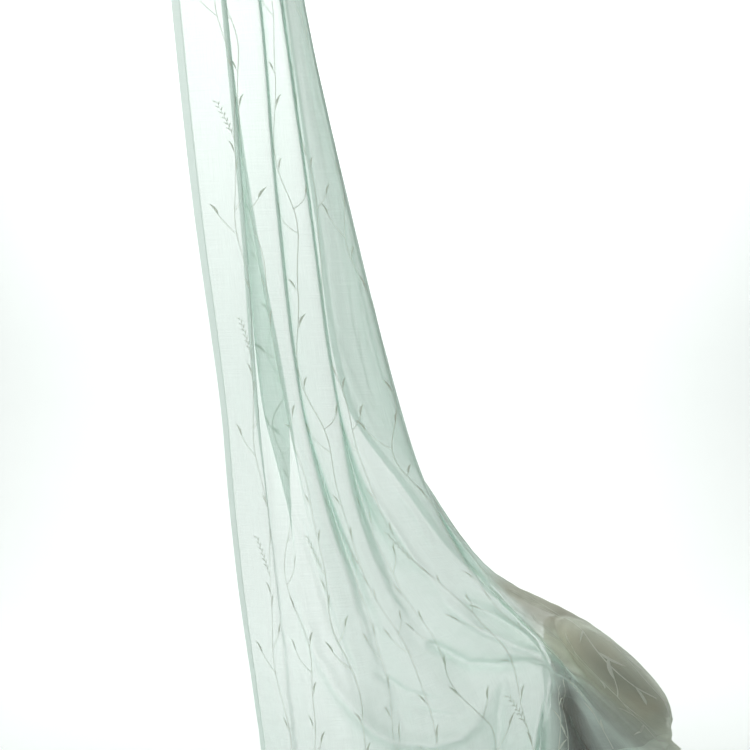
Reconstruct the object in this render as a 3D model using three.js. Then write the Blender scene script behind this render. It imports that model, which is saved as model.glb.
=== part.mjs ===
// A sheer voile curtain, 1.4 m by 2.45 m, held along its gathered top edge.
// Its left side hangs to the floor. Its right side is drawn over a plain round stool.
// Millimetres, +Z up. The origin is on the middle of the top edge, and -Y is the room side.
import * as THREE from 'three';

const CLOTH_THICK = 2.0;
const HEM_THICK = 3.0;
const SIDE_HEM = 27;
const BOTTOM_HEM = 80;
const TOP_HEM = 60;
const FLOOR_Z = -2442;

// The heights at which the fold lines are placed. down is the length of cloth above the section.
// z is its height where every line is still level, pleat is how much of its depth a fold keeps, and
// rows is the number of steps that the sheet has from the section above.
const SECTIONS = [
  { name: 'top', down: 0, rows: 0, z: 0, pleat: 0.94 },
  { name: 'shoulder', down: 410, rows: 3, z: -409, pleat: 1 },
  { name: 'gap', down: 870, rows: 4, z: -868, pleat: 1 },
  { name: 'waist', down: 1330, rows: 7, z: -1328, pleat: 1 },
  { name: 'bend', down: 1570, rows: 4, pleat: 0.95 },
  { name: 'sweep', down: 1790, rows: 5, pleat: 0.75 },
  { name: 'crest', down: 2130, rows: 10 },
  { name: 'hem', down: 2450, rows: 15 },
];

// The lines that the folds run along, from the left hem to the right one.
// flat is a line's distance from the left hem on the cut cloth. back is how far it lies behind the
// front of the curtain in the upper half, and rear is the same from the waist down.
// Then comes x at the level sections, [x, z] at bend and sweep, and [x, y, z] at crest and hem.
const FOLDS = [
  { name: 'left_hem', flat: 0, back: 24, rear: 64, top: -145, shoulder: -111, gap: -66, waist: -10,
    bend: [18, -1562], sweep: [46, -1781], crest: [92, 56, -2119], hem: [128, 50, -2437] },
  { name: 'front_edge', flat: 125, back: 0, rear: 0, top: -37, shoulder: 14, gap: 48, waist: 85,
    bend: [107, -1566], sweep: [127, -1784], crest: [161, 0, -2122], hem: [200, 0, -2438] },
  { name: 'inner_valley', flat: 170, back: 46, rear: 42, top: -40, shoulder: 11, gap: 48, waist: 100,
    bend: [125, -1566], sweep: [149, -1784], crest: [188, 34, -2122], hem: [232, 34, -2437] },
  { name: 'inner_ridge', flat: 205, back: 84, rear: 6, top: -39, shoulder: 12, gap: 50, waist: 118,
    bend: [148, -1566], sweep: [184, -1784], crest: [228, 4, -2121], hem: [268, 6, -2436] },
  { name: 'dark_valley', flat: 242, back: 80, rear: 62, top: -27, shoulder: 24, gap: 60, waist: 137,
    bend: [180, -1566], sweep: [232, -1783], crest: [284, 30, -2117], hem: [312, 36, -2434] },
  { name: 'second_left', flat: 318, back: 5, rear: 4, top: -18, shoulder: 32, gap: 71, waist: 154,
    bend: [214, -1566], sweep: [264, -1780], crest: [332, 0, -2110], hem: [372, 2, -2428] },
  { name: 'second_right', flat: 388, back: 0, rear: 0, top: 37, shoulder: 88, gap: 134, waist: 200,
    bend: [252, -1564], sweep: [306, -1776], crest: [390, 2, -2098], hem: [436, 8, -2414] },
  { name: 'soft_valley', flat: 456, back: 66, rear: 66, top: 40, shoulder: 91, gap: 140, waist: 214,
    bend: [271, -1563], sweep: [328, -1773], crest: [430, 16, -2088], hem: [486, 34, -2402] },
  { name: 'third_left', flat: 522, back: 4, rear: 3, top: 50, shoulder: 101, gap: 152, waist: 229,
    bend: [288, -1562], sweep: [352, -1767], crest: [478, 0, -2074], hem: [538, 8, -2388] },
  { name: 'third_right', flat: 572, back: 2, rear: 5, top: 88, shoulder: 141, gap: 194, waist: 253,
    bend: [313, -1561], sweep: [386, -1762], crest: [528, -4, -2052], hem: [588, 2, -2364] },
  { name: 'deep_valley', flat: 670, back: 94, rear: 92, top: 93, shoulder: 147, gap: 203, waist: 267,
    bend: [330, -1559], sweep: [418, -1760], crest: [607, 24, -2018], hem: [651, 28, -2332] },
  { name: 'fourth', flat: 768, back: 4, rear: 0, top: 103, shoulder: 156, gap: 219, waist: 292,
    bend: [363, -1552], sweep: [487, -1741], crest: [690, -10, -1972], hem: [700, -14, -2286] },
  { name: 'peak_line', flat: 862, back: 86, rear: 88, top: 107, shoulder: 160, gap: 232, waist: 319,
    bend: [414, -1546], sweep: [533, -1737], crest: [746, -12, -1930], hem: [735, -5, -2246] },
  { name: 'fifth', flat: 954, back: 150, rear: 5, top: 112, shoulder: 166, gap: 250, waist: 352,
    bend: [437, -1543], sweep: [559, -1723], crest: [745, -72, -1904], hem: [813, -124, -2196] },
  { name: 'back_valley', flat: 1046, back: 86, rear: 88, top: 120, shoulder: 174, gap: 267, waist: 382,
    bend: [460, -1540], sweep: [580, -1723], crest: [767, -74, -1898], hem: [903, -134, -2172] },
  { name: 'sixth', flat: 1134, back: 12, rear: 20, top: 129, shoulder: 185, gap: 283, waist: 408,
    bend: [478, -1537], sweep: [602, -1716], crest: [772, -114, -1888], hem: [1041, -60, -2117] },
  { name: 'turn', flat: 1324, back: 120, rear: 140, top: 142, shoulder: 194, gap: 294, waist: 411,
    bend: [488, -1534], sweep: [620, -1716], crest: [893, 45, -1878], hem: [1062, 40, -2150] },
  { name: 'right_hem', flat: 1400, back: 176, rear: 200, top: 110, shoulder: 162, gap: 252, waist: 356,
    bend: [432, -1540], sweep: [590, -1730], crest: [900, 142, -1918], hem: [1036, 126, -2182] },
];
const LEAST_STEPS = 2;
const STEP_WIDTH = 25; // flat cloth between two columns of the sheet, about
const FOLD_TURN = { most: 22, share: 0.33 }; // least turn at a fold line, so that a tight fold stays open
const TIGHTEN = 0.6; // how far the columns of a pleat draw together at its fold lines
const PLEATS_END = 'sixth';

// Broad ridges and troughs that cross the folds low down, as [x, z] seen from the room side.
const DRAGS = [
  { name: 'low_arc', lift: 16, width: 34, along: [[223, -1900], [290, -2010], [375, -2095], [485, -2120],
    [585, -2080], [640, -1995]] },
  { name: 'sag', lift: -14, width: 30, along: [[412, -1790], [465, -1890], [545, -1940], [655, -1945],
    [735, -1925]] },
  { name: 'sag_lip', lift: 12, width: 30, along: [[520, -1800], [610, -1860], [700, -1890], [750, -1905]] },
  { name: 'panel', lift: 14, width: 26, along: [[742, -1945], [732, -2030], [712, -2130], [700, -2220]] },
  { name: 'rope', lift: 16, width: 20, along: [[690, -1925], [765, -1915], [830, -1975], [905, -2050],
    [1030, -2112]] },
];
const DRAG_TAPER = 0.18; // share of a ridge's length over which it fades out at each end
const DRAG_DEPTH = { whole: 40, none: 100 }; // cloth this far behind the front moves wholly, or not

// The stool under the cloth: a round drum and a thick padded seat. Both slope down to the right.
const STOOL = { x: 893, y: 20, slope: 0.55 };
const SEAT = { radius: 140, middle: -1952, rise: 60, drop: 30, power: 2, flat: 0.15, edge: 8 };
const DRUM = { radius: 124, gap: 0.35 };
const SEAT_CLEAR = 11; // between the seat and the middle of the cloth
const ROUND_STEPS = 40;
const SHOULDER = { steps: 12, spread: 1.6 }; // steps of the seat's rounded top, closer at its rim

const WAIST = SECTIONS.find((s) => s.name === 'waist');
const last = (list) => list[list.length - 1];

function hermite(from, to, slopeFrom, slopeTo, t) {
  const t2 = t * t;
  const t3 = t2 * t;
  return from * (2 * t3 - 3 * t2 + 1) + slopeFrom * (t3 - 2 * t2 + t)
    + to * (3 * t2 - 2 * t3) + slopeTo * (t3 - t2);
}

// Smooth value at `at` through values at uneven knots: a cubic with the slope of the neighbours.
function glide(knots, values, at) {
  let i = 0;
  while (i < knots.length - 2 && at > knots[i + 1]) i += 1;
  const slope = (k) => {
    const a = Math.max(k - 1, 0);
    const b = Math.min(k + 1, knots.length - 1);
    return (values[b] - values[a]) / (knots[b] - knots[a]);
  };
  const span = knots[i + 1] - knots[i];
  return hermite(values[i], values[i + 1], slope(i) * span, slope(i + 1) * span, (at - knots[i]) / span);
}

// Where a fold line is at one section, from the columns that the section has.
function placeOf(fold, section) {
  const place = fold[section.name];
  if (section.z !== undefined) {
    const depth = section.down < WAIST.down ? fold.back : fold.rear;
    return [place, depth * section.pleat, section.z];
  }
  if (section.pleat !== undefined) return [place[0], fold.rear * section.pleat, place[1]];
  return place;
}

// Where every fold line is at one distance down the cloth.
function tipsAt(down) {
  const knots = SECTIONS.map((s) => s.down);
  return FOLDS.map((fold) => new THREE.Vector3(...[0, 1, 2].map(
    (axis) => glide(knots, SECTIONS.map((s) => placeOf(fold, s)[axis]), down))));
}

// The point on one leg between two fold lines, t from 0 to 1.
function onLeg(tips, leg, t) {
  const width = FOLDS[leg + 1].flat - FOLDS[leg].flat;
  const least = Math.min(FOLD_TURN.most, FOLD_TURN.share * width);
  const turn = (k) => {
    const across = tips[Math.min(k + 1, tips.length - 1)].clone().sub(tips[Math.max(k - 1, 0)]);
    return across.setLength(Math.max(across.length() / 2, least));
  };
  const [a, b, from, to] = [tips[leg], tips[leg + 1], turn(leg), turn(leg + 1)];
  return new THREE.Vector3(
    hermite(a.x, b.x, from.x, to.x, t),
    hermite(a.y, b.y, from.y, to.y, t),
    hermite(a.z, b.z, from.z, to.z, t));
}

// How far the drags lift one point towards the room.
function dragLift(point) {
  let lift = 0;
  for (const drag of DRAGS) {
    let nearest = Infinity;
    let share = 0;
    const spans = drag.along.length - 1;
    for (let i = 0; i < spans; i += 1) {
      const [ax, az] = drag.along[i];
      const [bx, bz] = drag.along[i + 1];
      const [dx, dz] = [bx - ax, bz - az];
      const t = Math.min(1, Math.max(0, ((point.x - ax) * dx + (point.z - az) * dz) / (dx * dx + dz * dz)));
      const away = Math.hypot(point.x - ax - t * dx, point.z - az - t * dz);
      if (away < nearest) {
        nearest = away;
        share = (i + t) / spans;
      }
    }
    const fade = Math.min(1, share / DRAG_TAPER, (1 - share) / DRAG_TAPER);
    lift += drag.lift * fade * Math.exp(-((nearest / drag.width) ** 2));
  }
  return lift * THREE.MathUtils.smoothstep(-point.y, -DRAG_DEPTH.none, -DRAG_DEPTH.whole);
}

// Moves a point of the cloth out of the seat and the drum, with room between.
function offTheStool(point) {
  const fromAxis = point.clone().sub(new THREE.Vector3(STOOL.x, STOOL.y, SEAT.middle));
  const height = fromAxis.z + STOOL.slope * fromAxis.x;
  const foot = Math.min(0, height);
  const away = new THREE.Vector3(fromAxis.x, fromAxis.y, height - foot);
  const level = (Math.hypot(away.x, away.y) / (SEAT.radius + SEAT_CLEAR)) ** SEAT.power
    + (away.z / (SEAT.rise + SEAT_CLEAR)) ** SEAT.power;
  if (level >= 1) return point;
  away.multiplyScalar(level ** (-1 / SEAT.power));
  return new THREE.Vector3(STOOL.x + away.x, STOOL.y + away.y,
    SEAT.middle + foot + away.z - STOOL.slope * away.x);
}

// The cloth's middle surface as a grid of points, rows down the cloth and columns across it.
function clothGrid() {
  const downs = [0];
  for (let k = 1; k < SECTIONS.length; k += 1) {
    const [above, { down, rows }] = [SECTIONS[k - 1].down, SECTIONS[k]];
    for (let r = 1; r <= rows; r += 1) downs.push(above + ((down - above) * r) / rows);
  }
  const pleats = FOLDS.findIndex((fold) => fold.name === PLEATS_END);
  const columns = [];
  for (let leg = 0; leg < FOLDS.length - 1; leg += 1) {
    const width = FOLDS[leg + 1].flat - FOLDS[leg].flat;
    const steps = Math.max(LEAST_STEPS, Math.round(width / STEP_WIDTH));
    const tighten = leg < pleats ? TIGHTEN : 0;
    for (let k = 0; k < steps; k += 1) {
      const share = k / steps;
      columns.push({ leg, t: share - (tighten * Math.sin(2 * Math.PI * share)) / (2 * Math.PI) });
    }
  }
  columns.push({ leg: FOLDS.length - 2, t: 1 });
  const flats = columns.map(({ leg, t }) => FOLDS[leg].flat + t * (FOLDS[leg + 1].flat - FOLDS[leg].flat));
  const points = downs.map((down) => {
    const tips = tipsAt(down);
    return columns.map(({ leg, t }) => {
      const point = onLeg(tips, leg, t);
      point.y -= dragLift(point);
      return offTheStool(point);
    });
  });
  return { downs, flats, points };
}

// Half the cloth's thickness: it is doubled over at its hems.
function halfThick(flat, down) {
  const width = last(FOLDS).flat;
  const inHem = flat < SIDE_HEM || flat > width - SIDE_HEM
    || down < TOP_HEM || down > last(SECTIONS).down - BOTTOM_HEM;
  return (inHem ? HEM_THICK : CLOTH_THICK) / 2;
}

// A closed sheet around a grid of points.
function sheetGeometry({ downs, flats, points }) {
  const rows = downs.length;
  const cols = flats.length;
  const positions = [];
  const at = (r, c) => points[Math.min(Math.max(r, 0), rows - 1)][Math.min(Math.max(c, 0), cols - 1)];
  const through = (before, here, after) => after.clone().sub(here).normalize()
    .add(here.clone().sub(before).normalize());
  for (const side of [1, -1]) {
    for (let r = 0; r < rows; r += 1) {
      for (let c = 0; c < cols; c += 1) {
        const across = through(at(r, c - 1), at(r, c), at(r, c + 1));
        const along = through(at(r - 1, c), at(r, c), at(r + 1, c));
        const normal = along.cross(across).normalize();
        const p = at(r, c).clone().addScaledVector(normal, side * halfThick(flats[c], downs[r]));
        positions.push(p.x, p.y, p.z);
      }
    }
  }
  const back = rows * cols;
  const index = [];
  const quad = (a, b, c, d) => index.push(a, b, c, a, c, d);
  for (let r = 0; r < rows - 1; r += 1) {
    for (let c = 0; c < cols - 1; c += 1) {
      const a = r * cols + c;
      quad(a, a + cols, a + cols + 1, a + 1);
      quad(back + a, back + a + 1, back + a + cols + 1, back + a + cols);
    }
  }
  for (let r = 0; r < rows - 1; r += 1) {
    const left = r * cols;
    const right = left + cols - 1;
    quad(left, back + left, back + left + cols, left + cols);
    quad(right, right + cols, back + right + cols, back + right);
  }
  for (let c = 0; c < cols - 1; c += 1) {
    const foot = (rows - 1) * cols + c;
    quad(c, c + 1, back + c + 1, back + c);
    quad(foot, back + foot, back + foot + 1, foot + 1);
  }
  const geometry = new THREE.BufferGeometry();
  geometry.setAttribute('position', new THREE.Float32BufferAttribute(positions, 3));
  geometry.setIndex(index);
  geometry.computeVertexNormals();
  return geometry;
}

function curtainMesh() {
  const voile = new THREE.MeshStandardMaterial({ color: 0xd9e8e1, roughness: 0.75, metalness: 0 });
  voile.side = THREE.DoubleSide;
  const mesh = new THREE.Mesh(sheetGeometry(clothGrid()), voile);
  mesh.name = 'curtain';
  return mesh;
}

// Lowers every point at or above a height by the stool's slope.
function slopeAbove(geometry, height) {
  const at = geometry.attributes.position;
  for (let i = 0; i < at.count; i += 1) {
    if (at.getZ(i) > height) at.setZ(i, at.getZ(i) - STOOL.slope * at.getX(i));
  }
  geometry.computeVertexNormals();
  return geometry;
}

// The padded seat: rounded shoulders, a short straight side and a flat underside, all on the slope.
function seatMesh() {
  const profile = [
    new THREE.Vector2(0, -SEAT.drop),
    new THREE.Vector2(SEAT.radius - SEAT.edge, -SEAT.drop),
    new THREE.Vector2(SEAT.radius, SEAT.edge - SEAT.drop),
  ];
  for (let i = 0; i <= SHOULDER.steps; i += 1) {
    const share = 1 - (1 - SEAT.flat) * (i / SHOULDER.steps) ** SHOULDER.spread;
    const height = (1 - share ** SEAT.power) ** (1 / SEAT.power);
    profile.push(new THREE.Vector2(SEAT.radius * share, SEAT.rise * height));
  }
  const rim = last(profile);
  profile.push(new THREE.Vector2(0, rim.y));
  const round = new THREE.LatheGeometry(profile, ROUND_STEPS);
  const pad = new THREE.MeshStandardMaterial({ color: 0x3a342e, roughness: 0.85, metalness: 0 });
  const mesh = new THREE.Mesh(slopeAbove(round.rotateX(Math.PI / 2), -SEAT.radius), pad);
  mesh.position.set(STOOL.x, STOOL.y, SEAT.middle);
  mesh.name = 'stool_seat';
  return mesh;
}

function drumMesh() {
  const top = SEAT.middle - SEAT.drop - DRUM.gap;
  const height = top - FLOOR_Z;
  const round = new THREE.CylinderGeometry(DRUM.radius, DRUM.radius, height, ROUND_STEPS);
  const wood = new THREE.MeshStandardMaterial({ color: 0x2f261f, roughness: 0.6, metalness: 0 });
  const mesh = new THREE.Mesh(slopeAbove(round.rotateX(Math.PI / 2), 0), wood);
  mesh.position.set(STOOL.x, STOOL.y, FLOOR_Z + height / 2);
  mesh.name = 'stool_drum';
  return mesh;
}

const curtain = new THREE.Group();
curtain.add(curtainMesh(), seatMesh(), drumMesh());

export default curtain;
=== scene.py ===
"""The looks of a sheer voile curtain drawn over a round stool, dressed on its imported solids.

Tables are in millimetres. Meshes are in metres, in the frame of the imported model.
"""

from __future__ import annotations

import logging
import math
from collections.abc import Sequence
from dataclasses import dataclass, field
from enum import Enum
from typing import Any

import bmesh
import bpy
import numpy as np
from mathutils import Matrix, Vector


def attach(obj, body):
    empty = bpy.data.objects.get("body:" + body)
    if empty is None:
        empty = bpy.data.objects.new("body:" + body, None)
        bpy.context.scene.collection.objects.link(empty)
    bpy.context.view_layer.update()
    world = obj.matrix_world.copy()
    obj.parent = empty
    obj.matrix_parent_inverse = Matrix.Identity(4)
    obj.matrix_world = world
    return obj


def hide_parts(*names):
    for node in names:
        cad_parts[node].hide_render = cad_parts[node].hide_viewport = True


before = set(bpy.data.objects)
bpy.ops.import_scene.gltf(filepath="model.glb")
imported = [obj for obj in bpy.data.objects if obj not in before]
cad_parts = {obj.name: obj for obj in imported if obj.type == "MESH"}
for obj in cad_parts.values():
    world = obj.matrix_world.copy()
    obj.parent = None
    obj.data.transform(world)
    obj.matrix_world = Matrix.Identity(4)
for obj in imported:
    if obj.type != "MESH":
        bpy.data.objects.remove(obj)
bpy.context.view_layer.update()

MM = 0.001
LOG = logging.getLogger("curtain")
Row = tuple[float, ...]


# The draped cloth


@dataclass(frozen=True)
class Section:
    """A distance down the cut cloth at which every fold line is placed.

    pleat is the share of its depth that a fold keeps there.
    """

    name: str
    down: float
    pleat: float = 1.0


@dataclass(frozen=True)
class FoldLine:
    """A line that one fold runs along, from the top edge to the bottom hem.

    flat is its distance from the left hem on the cut cloth. back is its depth above the waist, and
    rear is its depth at the waist and below. level holds x at the four level sections, whose z is
    in LEVEL_HEIGHTS, bend and sweep hold x and z, and crest and hem hold x, y and z.
    """

    name: str
    flat: float
    back: float
    rear: float
    level: Row
    bend: Row
    sweep: Row
    crest: Row
    hem: Row

    def places(self) -> list[Row]:
        """Gives the line's point at every section, in order."""
        depths = (self.back, self.back, self.back, self.rear)
        level = [
            (x, depth * section.pleat, z)
            for x, depth, section, z in zip(self.level, depths, SECTIONS, LEVEL_HEIGHTS)
        ]
        slanted = [
            (place[0], self.rear * section.pleat, place[1])
            for place, section in zip((self.bend, self.sweep), SECTIONS[4:])
        ]
        return [*level, *slanted, self.crest, self.hem]


SECTIONS = (
    Section("top", 0, 0.94),
    Section("shoulder", 410),
    Section("gap", 870),
    Section("waist", 1330),
    Section("bend", 1570, 0.66),
    Section("sweep", 1790, 0.26),
    Section("crest", 2130),
    Section("hem", 2450),
)
LEVEL_HEIGHTS = (0, -409, -868, -1328)
FOLDS = (
    FoldLine("left_hem", 0, 20, 30, (-145, -111, -62, 0),
             (22, -1562), (48, -1781), (92, 40, -2119), (128, 40, -2437)),
    FoldLine("front_edge", 120, 0, 0, (-37, 12, 53, 88),
             (108, -1566), (127, -1784), (161, 0, -2122), (200, 0, -2438)),
    FoldLine("inner_valley", 165, 44, 32, (-48, 3, 44, 82),
             (114, -1566), (143, -1784), (186, 14, -2122), (228, 16, -2437)),
    FoldLine("inner_ridge", 225, 35, 28, (-40, 10, 72, 156),
             (164, -1566), (172, -1784), (224, 4, -2121), (266, 6, -2436)),
    FoldLine("wedge_back", 270, 27, 22, (-38, 12, 54, 98),
             (158, -1566), (200, -1784), (262, 8, -2119), (292, 12, -2435)),
    FoldLine("dark_valley", 312, 18, 15, (-35, 14, 76, 158),
             (194, -1566), (234, -1783), (298, 12, -2117), (326, 16, -2433)),
    FoldLine("second_left", 345, 8, 5, (-33, 16, 71, 152),
             (206, -1566), (262, -1780), (332, 0, -2110), (372, 2, -2428)),
    FoldLine("second_right", 410, 0, 0, (42, 94, 134, 190),
             (244, -1564), (306, -1776), (390, 2, -2098), (436, 8, -2414)),
    FoldLine("soft_valley", 484, 84, 80, (36, 88, 129, 188),
             (254, -1563), (328, -1773), (430, 12, -2088), (486, 22, -2402)),
    FoldLine("third_left", 558, 9, 8, (46, 98, 138, 194),
             (266, -1562), (350, -1767), (478, 0, -2074), (538, 8, -2388)),
    FoldLine("third_right", 630, 2, 2, (92, 145, 207, 271),
             (313, -1561), (386, -1762), (536, -4, -2052), (596, 2, -2364)),
    FoldLine("deep_valley", 718, 100, 96, (85, 139, 203, 270),
             (330, -1559), (418, -1760), (614, 14, -2018), (655, 18, -2332)),
    FoldLine("fourth", 804, 10, 8, (96, 149, 211, 276),
             (356, -1552), (487, -1741), (690, -10, -1972), (700, -14, -2286)),
    FoldLine("peak_line", 872, 2, 4, (118, 176, 260, 338),
             (414, -1546), (533, -1737), (746, -12, -1930), (735, -5, -2246)),
    FoldLine("fifth", 944, 5, 6, (139, 198, 297, 410),
             (481, -1541), (580, -1723), (745, -72, -1904), (813, -124, -2196)),
    FoldLine("back_valley", 1040, 104, 100, (136, 196, 296, 411),
             (482, -1540), (588, -1723), (767, -74, -1898), (903, -134, -2172)),
    FoldLine("sixth", 1134, 42, 40, (132, 192, 290, 402),
             (480, -1537), (604, -1716), (772, -114, -1888), (1041, -60, -2117)),
    FoldLine("turn", 1324, 122, 124, (114, 172, 254, 346),
             (484, -1534), (622, -1716), (893, 45, -1878), (1062, 40, -2150)),
    FoldLine("right_hem", 1400, 176, 190, (94, 148, 212, 286),
             (428, -1540), (588, -1730), (900, 142, -1918), (1036, 126, -2182)),
)


@dataclass(frozen=True)
class Cut:
    """The cut cloth: its flat size, the widths of its hems and how far in their stitches lie."""

    width: float = 1400
    drop: float = 2450
    side_hem: float = 27
    bottom_hem: float = 80
    top_hem: float = 60
    inset: float = 3

    def seams(self) -> tuple[Row, Row]:
        """Gives how far across the upright rows of stitches lie, and how far down the level ones."""
        across = (self.side_hem - self.inset, self.width - self.side_hem + self.inset)
        down = (self.top_hem - self.inset, self.drop - self.bottom_hem + self.inset)
        return across, down


@dataclass(frozen=True)
class StoolSize:
    """The stool's sizes. Its seat slopes to the right, a little fuller and steeper than its solid."""

    x: float = 893
    y: float = 20
    slope: float = 0.68
    middle: float = -1948
    radius: float = 140
    rise: float = 66
    drop: float = 48
    edge: float = 8


CUT = Cut()
STOOL = StoolSize()


class Shape(Enum):
    """The cross-section of a crease."""

    SOFT = "soft"
    SHARP = "sharp"


@dataclass(frozen=True)
class Crease:
    """A ridge towards the room, or a trough if its lift is negative, along a line of x, z points."""

    name: str
    lift: float
    width: float
    along: tuple[tuple[float, float], ...]
    shape: Shape = Shape.SOFT


DRAGS = (
    Crease("low_arc", 16, 34,
           ((223, -1900), (290, -2010), (375, -2095), (485, -2120), (585, -2080), (640, -1995))),
    Crease("sag", -14, 30,
           ((412, -1790), (465, -1890), (545, -1940), (655, -1945), (735, -1925))),
    Crease("sag_lip", 12, 30, ((520, -1800), (610, -1860), (700, -1890), (750, -1905))),
    Crease("panel", 14, 26, ((742, -1945), (732, -2030), (712, -2130), (700, -2220))),
    Crease("rope", 16, 20,
           ((690, -1925), (765, -1915), (830, -1975), (905, -2050), (1030, -2112))),
)
CREASES = (
    Crease("low_arc_crest", 15, 15,
           ((177, -1741), (188, -1787), (223, -1902), (269, -1987), (303, -2029), (361, -2086),
            (418, -2114), (487, -2114), (556, -2098), (602, -2052), (648, -1971))),
    Crease("arc_valley", -9, 9,
           ((166, -1557), (211, -1672), (246, -1787), (269, -1856), (299, -1925), (331, -2017))),
    Crease("sag_crease", -18, 11, ((480, -1890), (504, -1902), (579, -1943), (648, -1943), (752, -1921))),
    Crease("upper_crease", -14, 6,
           ((538, -1764), (591, -1803), (648, -1833), (718, -1868), (756, -1893)), Shape.SHARP),
    Crease("shine", 11, 8, ((626, -1794), (671, -1828), (718, -1861), (750, -1880))),
    Crease("shine_low", 10, 9, ((510, -1787), (602, -1852), (683, -1886), (752, -1907))),
    Crease("mid_crease", -7, 8, ((345, -1941), (384, -1971), (430, -1999), (533, -2024))),
    Crease("low_crease", -5, 6, ((446, -2036), (499, -2049), (561, -2054))),
    Crease("fan_one", 9, 9, ((326, -1488), (361, -1557), (407, -1626), (453, -1695), (522, -1776))),
    Crease("fan_two", 6, 8, ((395, -1511), (453, -1591), (499, -1672))),
    Crease("slant", 5, 8, ((246, -1120), (303, -1270), (361, -1407), (384, -1442))),
    Crease("panel_edge", -18, 7, ((660, -1960), (652, -2040), (648, -2132), (640, -2230)), Shape.SHARP),
    Crease("panel_crest", 20, 12, ((754, -1935), (743, -2017), (720, -2121), (705, -2230))),
    Crease("peak_fold", -26, 7, ((768, -1935), (762, -2017), (745, -2132), (735, -2230)), Shape.SHARP),
    Crease("rope_shadow", -32, 6, ((764, -1926), (814, -1953), (878, -2029), (936, -2075)), Shape.SHARP),
    Crease("rope_top", 22, 9,
           ((648, -1903), (717, -1910), (759, -1917), (798, -1938), (855, -1995), (936, -2075),
            (994, -2110), (1040, -2121))),
    Crease("rope_high", 15, 7,
           ((640, -1885), (709, -1896), (759, -1905), (812, -1930), (871, -1983), (950, -2058),
            (1040, -2106))),
    Crease("rope_low", 18, 5, ((702, -1926), (759, -1926), (798, -1948), (848, -2003), (925, -2082))),
    Crease("light_band", 24, 15, ((809, -1976), (867, -2024), (920, -2070), (994, -2121))),
    Crease("dark_wedge", -40, 13, ((780, -1980), (798, -2016), (822, -2055), (858, -2121), (900, -2200))),
)


def glide(knots: np.ndarray, values: np.ndarray, at: np.ndarray) -> np.ndarray:
    """Runs a smooth curve through values at uneven knots.

    Args:
        knots: Where the values stand, ascending.
        values: One entry for each knot, of any shape.
        at: Where the curve is read.

    Returns:
        The curve's value for each entry of at.
    """
    i = np.clip(np.searchsorted(knots, at) - 1, 0, len(knots) - 2)
    index = np.arange(len(knots))
    low, high = np.maximum(index - 1, 0), np.minimum(index + 1, len(knots) - 1)
    wide = (-1,) + (1,) * (values.ndim - 1)
    slope = (values[high] - values[low]) / (knots[high] - knots[low]).reshape(wide)
    span = (knots[i + 1] - knots[i]).reshape(wide)
    t = (at - knots[i]).reshape(wide) / span
    return hermite(values[i], values[i + 1], slope[i] * span, slope[i + 1] * span, t)


def hermite(
    start: np.ndarray, end: np.ndarray, go: np.ndarray, come: np.ndarray, t: np.ndarray
) -> np.ndarray:
    """Gives the cubic from start to end with slopes go and come, at t from 0 to 1."""
    t2, t3 = t * t, t * t * t
    ends = start * (2 * t3 - 3 * t2 + 1) + end * (3 * t2 - 2 * t3)
    return ends + go * (t3 - 2 * t2 + t) + come * (t3 - t2)


def smooth(value: np.ndarray, low: float, high: float) -> np.ndarray:
    """Rises smoothly from 0 at low to 1 at high."""
    t = np.clip((value - low) / (high - low), 0, 1)
    return t * t * (3 - 2 * t)


@dataclass(frozen=True)
class Waves:
    """Sine waves of seeded direction, size and start, which add up to about -1 to 1.

    sizes are the shortest and the longest wave, and lean is the most that a crest leans from the
    warp, in radians.
    """

    seed: int
    count: int
    sizes: Row
    lean: float

    def height(self, x: np.ndarray, y: np.ndarray) -> np.ndarray:
        """Adds the waves up at distances across and down the cloth."""
        rng = np.random.default_rng(self.seed)
        total = np.zeros(np.broadcast(x, y).shape)
        for _ in range(self.count):
            angle = rng.uniform(-self.lean, self.lean)
            size = rng.uniform(*self.sizes)
            start = rng.uniform(0, 2 * math.pi)
            total += np.sin(2 * math.pi * (x * math.cos(angle) + y * math.sin(angle)) / size + start)
        return total / math.sqrt(self.count)


LONG_WAVES = Waves(seed=11, count=9, sizes=(18, 60), lean=1.2)
LIVELY_WAVES = Waves(seed=23, count=12, sizes=(38, 120), lean=1.4)


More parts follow.
